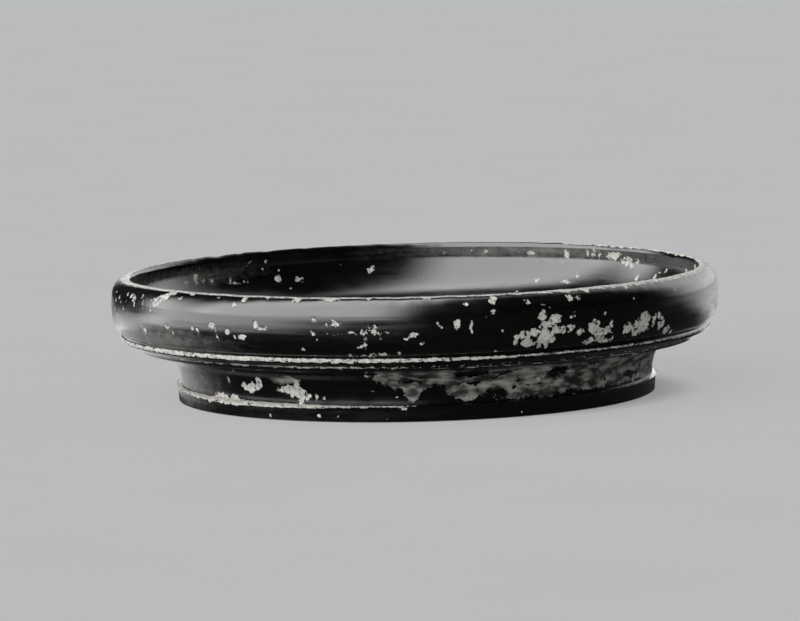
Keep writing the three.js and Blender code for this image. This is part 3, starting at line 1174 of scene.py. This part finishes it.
@dataclass(frozen=True)
class Bowl:
    """The thrown bowl without its foot: floor, wall, lip, ridge and flange."""

    height: float = POTTING.height
    belly_radius: float = POTTING.belly_radius
    floor_top: float = 15.4
    floor_radius: float = 50.0
    floor_sweep: float = 14.0
    inner_wall: Point = (70.5, 26.6)
    inner_wall_lean: float = 1.9
    inner_wall_sweep: float = 7.0
    inner_turn_rows: int = 5
    inner_turn_steps: int = 12
    lip_inner_radius: float = 70.3
    lip_crest_radius: float = 71.0
    lip_inner_drop: float = 1.1
    lip_outer_drop: float = 4.4
    belly_swell: float = 0.15
    belly_run: float = 4.5
    undercut: Point = (72.6, 17.2)
    undercut_sweep: Point = (2.4, 1.7)
    ridge_centre: Point = (72.2, 16.15)
    ridge_round: float = 0.75
    ridge_half_angle: float = math.radians(62)
    flange_edge: Point = (69.6, 14.0)
    flange_step: float = 0.6
    underside_height: float = 12.0
    underside_centre_height: float = 11.2
    joint_outer_radius: float = 61.6
    joint_inner_radius: float = 49.8
    under_coat: float = 0.35
    step: float = 0.9
    lathe: Lathe = Lathe(480)

    def inside_outline(self) -> Outline:
        """Draws the inside, from the middle of the floor up to the lip's inner edge.

        Returns:
            The outline.
        """
        bend = self.inner_wall
        edge = (self.lip_inner_radius, self.height - self.lip_inner_drop)
        sweep = swept(
            (self.floor_radius, self.floor_top),
            (self.floor_radius + self.floor_sweep, self.floor_top),
            (bend[0] - self.inner_wall_lean, bend[1] - self.inner_wall_sweep),
            bend,
        )[: -self.inner_turn_rows]
        turn = swept(sweep[-1], bend, bend, np.add(bend, edge) / 2, steps=self.inner_turn_steps)
        return Outline((0, self.floor_top), sweep, turn, edge)

    def wall_outline(self) -> Outline:
        """Draws the wall, from the lip's inner edge over the crest and down to the ridge's underside.

        Returns:
            The outline.
        """
        crest, upright = self.lip_crest_radius, math.pi / 2
        inner_edge = (crest, self.height - self.lip_inner_drop)
        inner = rounded(inner_edge, crest - self.lip_inner_radius, self.lip_inner_drop, math.pi, upright)
        shoulder = self.height - self.lip_outer_drop
        outer = rounded((crest, shoulder), self.belly_radius - crest, self.lip_outer_drop, upright, 0)
        belly = swept(
            (self.belly_radius, shoulder),
            (self.belly_radius + self.belly_swell, shoulder - self.belly_run),
            np.add(self.undercut, self.undercut_sweep),
            self.undercut,
        )
        size, reach = self.ridge_round, self.ridge_half_angle
        return Outline(inner, outer, belly, rounded(self.ridge_centre, size, size, reach, -reach))

    def flange_outline(self) -> Outline:
        """Draws the flange, from under the ridge round its edge to the joint with the foot.

        Returns:
            The outline.
        """
        ridge = self.wall_outline().points[-1]
        joint = (self.joint_outer_radius, self.underside_height)
        return Outline(ridge, self.flange_edge, np.subtract(self.flange_edge, self.flange_step), joint)

    def build(self) -> Piece:
        """Turns the bowl's clay, which keeps clear under the gloss.

        Returns:
            The piece.
        """
        sides = (self.inside_outline(), self.wall_outline(), self.flange_outline())
        covered = Outline(*(side.points for side in sides)).evenly(self.step).moved(-self.under_coat)
        covered.points[0, 0] = 0
        under = Outline(
            (self.joint_outer_radius - self.under_coat, self.underside_height),
            (self.joint_inner_radius, self.underside_height),
            (0, self.underside_centre_height),
        ).evenly(self.step)
        whole = Outline(covered.points, under.points)
        piece = self.lathe.turn("clay_bowl", whole.points, whole.along, closed=False)
        Skin(piece).settle()
        return piece

    def dress(self, piece: Piece) -> None:
        """Gives the bowl's clay its finish."""
        enter(piece, "bowl_body", FiredClay("bowl clay").material())


@dataclass(frozen=True)
class Foot:
    """The ring foot and the slip that joins it to the bowl."""

    top_height: float = 11.5
    top_radius: float = 61.2
    neck: Point = (58.4, 6.3)
    neck_flare: Point = (0.9, 3.2)
    neck_tuck: Point = (0.05, 2.1)
    ridge: Point = (59.5, 3.95)
    groove: Point = (59.1, 3.3)
    base: Point = (59.0, 2.0)
    base_tuck: float = 0.15
    gloss_edge: float = 0.2
    resting_radii: Point = (58.3, 53.4)
    resting_edge_steps: int = 6
    inner_radius: float = 51.2
    inner_bevel: float = 1.2
    slip_bead: float = 0.9
    under_coat: float = 0.35
    coat_gap: float = 0.02
    step: float = 0.45
    bead_step: float = 0.15
    lathe: Lathe = Lathe(600)
    slip_finish: FiredClay = FiredClay(
        "joining slip", light=(0.44, 0.41, 0.37, 1), dark=(0.31, 0.29, 0.26, 1), roughness=0.9
    )

    def outline(self) -> Outline:
        """Draws the outside, from the top down the neck and over the ridge to the gloss's lower edge.

        Returns:
            The outline.
        """
        top = (self.top_radius, self.top_height)
        flare, tuck = np.add(self.neck, self.neck_flare), np.subtract(self.neck, self.neck_tuck)
        base = through(self.groove, self.base, (self.base[0] - self.base_tuck, self.gloss_edge))
        return Outline(through(top, flare, self.neck, tuck), self.ridge, base)

    def build_ring(self) -> Piece:
        """Turns the foot's clay.

        Returns:
            The piece.
        """
        covered = self.outline().evenly(self.step).moved(-self.under_coat).points
        covered[-1, 1] -= self.coat_gap
        side, edge = self.base[0] - self.base_tuck, self.gloss_edge
        outer, inner = self.resting_radii
        shown = Outline(
            (side, edge - self.coat_gap),
            rounded((outer, edge), side - outer, edge, 0, -math.pi / 2, self.resting_edge_steps),
            (inner, 0),
            (self.inner_radius + self.inner_bevel, self.inner_bevel),
            (self.inner_radius, self.top_height - self.slip_bead),
            (self.inner_radius, self.top_height),
        ).evenly(self.step)
        whole = Outline(covered, shown.points)
        piece = self.lathe.turn("clay_foot", whole.points, whole.along, closed=True)
        Skin(piece).settle()
        return piece

    def build_slip(self, bowl: Bowl) -> Piece:
        """Turns the ring of joining slip, with its hollow bead in the inner corner.

        Args:
            bowl: The bowl that the slip joins.

        Returns:
            The piece.
        """
        corner = (self.inner_radius, self.top_height - self.slip_bead)
        hollow = (self.inner_radius - self.slip_bead / 2, self.top_height - self.slip_bead / 4)
        inner = (bowl.joint_inner_radius, bowl.underside_height)
        outer = self.top_radius - self.under_coat
        ring = Outline(
            inner,
            (outer, bowl.underside_height),
            (outer, self.top_height),
            (self.inner_radius, self.top_height),
            corner,
        ).evenly(self.step)
        bead = Outline(through(corner, hollow, inner)).evenly(self.bead_step)
        whole = Outline(ring.points, bead.points[:-1])
        piece = self.lathe.turn("slip_joint", whole.points, whole.along, closed=True)
        Skin(piece).settle()
        return piece

    def dress(self, ring: Piece, slip: Piece) -> None:
        """Gives the foot's clay and the slip their finishes.

        Args:
            ring: The foot's clay.
            slip: The slip.
        """
        enter(ring, "foot_ring", FiredClay("foot clay").material())
        enter(slip, "luting_slip", self.slip_finish.material())


@dataclass(frozen=True)
class GlossCoat:
    """The black gloss, in three skins that carry the top of the clay with them where it shows."""

    bowl: Bowl
    foot: Foot
    thickness: float = 0.05
    backing: float = 0.3
    back_slack: float = 0.05
    back_step: float = 8.0
    marks: float = 0.011
    floor_step: float = 1.6
    inner_wall_step: float = 0.46
    wall_step: float = 0.335
    foot_step: float = 0.37
    inside_lathe: Lathe = Lathe(840)
    wall_lathe: Lathe = Lathe(1220)
    foot_lathe: Lathe = Lathe(1140)
    wheel: Ripples = Ripples(5, 7, 1.1, 14)
    finish: BlackGloss = BlackGloss("black gloss")
    # The foot's bare clay is painted lighter than the wall's: painted light for the chips in the flange's
    # shade
    foot_finish_painted_lighter: BlackGloss = BlackGloss(
        "foot gloss with clay painted lighter", clay_light=(0.8, 0.775, 0.72, 1), clay_dark=(0.36, 0.345, 0.315, 1)
    )

    def skin(self, name: str, outline: Outline, lathe: Lathe, wear: Wear) -> Piece:
        """Turns one skin and wears it.

        Args:
            name: The piece's name.
            outline: The evenly cut outline that it lies on.
            lathe: How finely it is turned.
            wear: Its wear.

        Returns:
            The piece.
        """
        front = outline.moved(self.thickness).points
        back = outline.moved(-self.backing).thinned(self.back_slack, self.back_step).points[::-1]
        on_axis = outline.points[0, 0] == 0
        if on_axis:
            front[0, 0] = back[-1, 0] = 0
        along = np.concatenate((outline.along, np.full(len(back), Skin.BACK)))
        piece = lathe.turn(name, np.vstack((front, back)), along, closed=not on_axis)
        skin = Skin(piece)
        turn = np.radians(skin.turn)
        wheel = self.wheel.at(np.column_stack((skin.along, np.sin(turn), np.cos(turn))))
        skin.push(self.marks * wheel)
        wear.mark(outline, skin)
        skin.settle()
        return piece

    def build_inside(self) -> Piece:
        """Coats the floor and the inner wall.

        Returns:
            The piece.
        """
        whole = self.bowl.inside_outline()
        floor = Outline(whole.points[:2]).evenly(self.floor_step)
        wall = Outline(whole.points[1:]).evenly(self.inner_wall_step)
        return self.skin("inside_gloss", Outline(floor.points, wall.points), self.inside_lathe, INSIDE_WEAR)

    def build_wall(self) -> Piece:
        """Coats the lip, the outer wall and the ridge."""
        whole = self.bowl.wall_outline()
        return self.skin("wall_gloss", whole.evenly(self.wall_step), self.wall_lathe, WALL_WEAR)

    def build_foot(self) -> Piece:
        """Coats the flange, the underside out to the foot, and the foot's outside."""
        whole = Outline(self.bowl.flange_outline().points, self.foot.outline().points)
        return self.skin("foot_gloss", whole.evenly(self.foot_step), self.foot_lathe, FOOT_WEAR)

    def dress(self, inside: Piece, wall: Piece, foot: Piece) -> None:
        """Gives the three skins their finish.

        Args:
            inside: The skin on the floor and the inner wall.
            wall: The skin on the lip, the outer wall and the ridge.
            foot: The skin on the flange and the foot.
        """
        gloss = self.finish.material()
        enter(inside, "gloss_inside", gloss)
        enter(wall, "gloss_wall", gloss)
        enter(foot, "gloss_foot", self.foot_finish_painted_lighter.material())


# The studio


@dataclass(frozen=True)
class Glow:
    """A soft bright surface that shows only in the gloss, between two upright planes at which it fades out.

    The planes run along two turns from a corner, which is given as a share of the radius to the right
    and to the back. The fades are the shares of the radius over which the glow gains its strength.
    The radius is in metres, as all the studio's sizes are.
    """

    name: str
    turns: Point
    fades: Point
    strength: float
    radius: float
    corner: Point = (0.0, 0.0)

    SEGMENTS = 72
    UP = Vector((0, 0, 1))

    def side(self, turn: float) -> Vector:
        """Points level, to the right of a turn."""
        return Vector((math.cos(math.radians(turn)), math.sin(math.radians(turn)), 0))

    def material(self) -> Finish:
        """Makes a glow that fades towards both sides.

        Returns:
            The material.
        """
        material, nodes = new_material(self.name)
        away = nodes.vector("SUBTRACT", nodes.vector("NORMALIZE", nodes.place()), (*self.corner, 0))
        left = nodes.measure("DOT_PRODUCT", away, self.side(self.turns[0])).rise(0, self.fades[0])
        right = nodes.measure("DOT_PRODUCT", away, -self.side(self.turns[1])).rise(0, self.fades[1])
        colour = nodes.mix(left * right, (0, 0, 0, 1), (1, 1, 1, 1))
        shine = nodes.node("ShaderNodeEmission", {}, {"Color": colour, "Strength": self.strength})
        clear = nodes.node("ShaderNodeBsdfTransparent", {}, {})
        nodes.end("ShaderNodeAddShader", {0: clear.outputs[0], 1: shine.outputs[0]})
        return material

    def hang(self, bm: bmesh.types.BMesh, *cuts: tuple[Vector, Vector]) -> None:
        """Cuts a shape down to the glow's own stretch and hides it from all but the gloss.

        Args:
            bm: The whole shape.
            cuts: Further planes, each a point and the direction that is cut away.
        """
        corner = Vector((*self.corner, 0)) * self.radius
        sides = ((corner, -self.side(self.turns[0])), (corner, self.side(self.turns[1])))
        for spot, beyond in (*sides, *cuts):
            whole = bm.verts[:] + bm.edges[:] + bm.faces[:]
            bmesh.ops.bisect_plane(bm, geom=whole, plane_co=spot, plane_no=beyond, clear_outer=True)
        glow = into_scene(self.name, bm)
        glow.data.materials.append(self.material())
        glow.visible_camera = glow.visible_diffuse = glow.visible_shadow = False


@dataclass(frozen=True)
class Screen(Glow):
    """A bright stretch of a dome round the bowl, up to an elevation."""

    high: float = 90.0

    def build(self) -> None:
        """Hangs the screen."""
        bm = bmesh.new()
        halves = self.SEGMENTS // 2
        bmesh.ops.create_uvsphere(bm, u_segments=self.SEGMENTS, v_segments=halves, radius=self.radius)
        top = self.UP * self.radius * math.sin(math.radians(self.high))
        self.hang(bm, (Vector(), -self.UP), (top, self.UP))


@dataclass(frozen=True)
class TableCard(Glow):
    """A bright ring of card that lies on the floor beside the bowl."""

    inner: float = 0.085
    aside: Point = (0.0, 0.0)
    lift: float = 0.0005

    def build(self) -> None:
        """Lays the card."""
        bm = bmesh.new()
        for radius in (self.inner, self.radius):
            bmesh.ops.create_circle(bm, segments=self.SEGMENTS, radius=radius)
        bmesh.ops.bridge_loops(bm, edges=bm.edges)
        bmesh.ops.translate(bm, verts=bm.verts, vec=(*self.aside, self.lift))
        self.hang(bm)


@dataclass(frozen=True)
class Studio:
    """A pale floor, soft light from the front left and a camera at the bowl's own viewing angle."""

    floor_radius: float = 8.0
    floor_drop: float = 0.0001
    floor_segments: int = 96
    pale: Colour = (0.51, 0.517, 0.523, 1)
    fill: Colour = (0.3, 0.3, 0.3, 1)
    dim: Colour = (0.02, 0.02, 0.02, 1)
    bright: Colour = (1.3, 1.3, 1.3, 1)
    bright_behind: Point = (0.75, 0.95)
    bright_aside: Point = (0.08, 0.24)
    sun_turn: float = -50.0
    sun_elevation: float = 24.0
    sun_strength: float = 3.5
    sun_angle: float = 100.0
    cards: tuple[Screen | TableCard, ...] = (
        Screen("left_screen", (-84, -30), (0.2, 0.3), 6.4, 2.3, (-0.45, 0.62)),
        Screen("front_screen", (-72, -10), (0.25, 0.35), 8, 2.4, (0.332, 0.55)),
        Screen("right_back_screen", (104, 190), (0.44, 0.87), 2.3, 2.5, high=60),
        TableCard("front_left_table_card", (-118, -20), (0.35, 0.7), 5, 2.4, inner=0.21),
        TableCard(
            "left_table_card", (-150, -55), (0.6, 0.875), 1.8, 0.25,
            inner=0.12, aside=(-0.03, -0.04), lift=0.0008,
        ),
        TableCard("left_foot_card", (-178, -55), (1.0, 1.17), 1.15, 0.13, inner=0.0605, lift=0.0011),
        TableCard("right_table_card", (104, 185), (0.375, 1.125), 1.7, 2.4, lift=0.0014),
    )
    distance: float = 1.4
    elevation: float = 6.88
    roll: float = -1.42
    aim_aside: float = -0.00373
    aim_up: float = 0.02046
    lens: float = 254.07
    sensor: float = 36.0

    def lay_floor(self) -> None:
        """Lays a round floor that reaches past every edge of the picture."""
        bm = bmesh.new()
        bmesh.ops.create_circle(bm, cap_ends=True, segments=self.floor_segments, radius=self.floor_radius)
        bmesh.ops.translate(bm, verts=bm.verts, vec=(0, 0, -self.floor_drop))
        floor = into_scene("floor", bm)
        floor.data.materials.append(PaleFloor("pale floor").material())

    def colour_world(self) -> None:
        """Makes the world pale to the camera, a soft fill to the clay, and bright behind in the gloss."""
        scene = bpy.context.scene
        scene.world = scene.world or bpy.data.worlds.new("studio")
        scene.world.use_nodes = True
        nodes = Nodes(scene.world.node_tree)
        aside, behind, _ = nodes.parts(nodes.node("ShaderNodeTexCoord", {}, {}).outputs["Generated"])
        ahead = 1 - nodes.math("ABSOLUTE", aside).rise(*self.bright_aside)
        mirrored = nodes.mix(behind.rise(*self.bright_behind) * ahead, self.dim, self.bright)
        shade = nodes.mix(nodes.ray(Ray.MIRRORED), self.fill, mirrored)
        shade = nodes.mix(nodes.ray(Ray.CAMERA), shade, self.pale)
        sky = nodes.node("ShaderNodeBackground", {}, {"Color": shade})
        nodes.node("ShaderNodeOutputWorld", {}, {"Surface": sky.outputs[0]})

    def light(self) -> None:
        """Sets one broad soft lamp for the matt surfaces and the cards for the gloss."""
        data = bpy.data.lights.new("soft daylight", "SUN")
        data.energy, data.angle = self.sun_strength, math.radians(self.sun_angle)
        sun = bpy.data.objects.new("soft daylight", data)
        turn = Matrix.Rotation(math.radians(self.sun_turn), 4, "Z")
        sun.matrix_world = turn @ Matrix.Rotation(math.radians(90 - self.sun_elevation), 4, "X")
        sun.visible_glossy = False
        bpy.context.scene.collection.objects.link(sun)
        for card in self.cards:
            card.build()

    def place_camera(self) -> None:
        """Sets the camera at the bowl's own viewing angle."""
        rise = math.radians(self.elevation)
        stand = Vector((0, -math.cos(rise), math.sin(rise))) * self.distance
        up = Vector((0, math.sin(rise), math.cos(rise)))
        aim = Vector((self.aim_aside, 0, 0)) + up * self.aim_up
        data = bpy.data.cameras.new("camera")
        data.lens, data.sensor_width = self.lens, self.sensor
        camera = bpy.data.objects.new("camera", data)
        turn = (aim - stand).to_track_quat("-Z", "Y").to_matrix().to_4x4()
        roll = Matrix.Rotation(math.radians(self.roll), 4, "Z")
        camera.matrix_world = Matrix.Translation(stand) @ turn @ roll
        bpy.context.scene.collection.objects.link(camera)
        bpy.context.scene.camera = camera


def main() -> None:
    """Builds the studio, the clay and the gloss, in that order."""
    logging.basicConfig(level=logging.INFO, format="%(name)s: %(message)s")
    bpy.context.scene.view_settings.view_transform = "Standard"
    studio = Studio()
    studio.place_camera()
    studio.lay_floor()
    studio.colour_world()
    studio.light()
    bowl, foot = Bowl(), Foot()
    bowl.dress(bowl.build())
    foot.dress(foot.build_ring(), foot.build_slip(bowl))
    coat = GlossCoat(bowl, foot)
    coat.dress(coat.build_inside(), coat.build_wall(), coat.build_foot())


if __name__ == "__main__":
    main()
